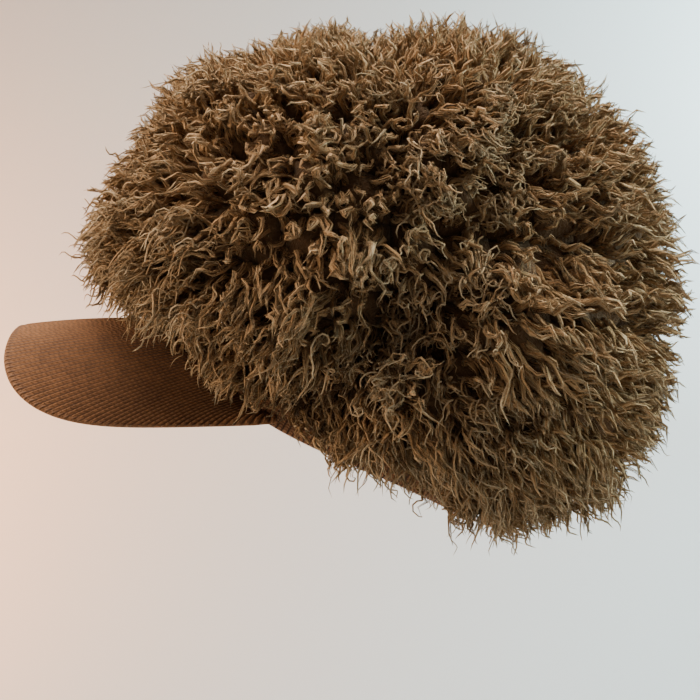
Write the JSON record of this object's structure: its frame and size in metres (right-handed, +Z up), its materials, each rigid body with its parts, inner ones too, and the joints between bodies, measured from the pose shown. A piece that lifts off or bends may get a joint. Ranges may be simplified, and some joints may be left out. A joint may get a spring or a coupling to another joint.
{
  "type": "knitted peaked cap with a curly wool wig crown",
  "caption": "Knitted cap with a strongly arched soft peak and a big slouched crown covered all over in deep curly wool, open below for the head.",
  "frame": {"origin": "middle of the head opening, in the plane of the band's lower edge", "axes": "+Z up, the peak points along -Y, +X is the wearer's left"},
  "size_m": [0.3268, 0.4007, 0.3149],
  "materials": {
    "rim_knit": "ribbed brown wool knit",
    "crown_cloth": "plain dark brown knitted cloth",
    "peak_knit": "plain brown wool knit, slightly fuzzy",
    "wool": "deep curly wool, dark roots and light tips"
  },
  "bodies": {
    "root": {"band": "rim_knit", "crown_front": "crown_cloth", "crown_back": "crown_cloth", "peak": "peak_knit", "pile_front": "wool", "pile_back": "wool"}
  },
  "joints": []
}
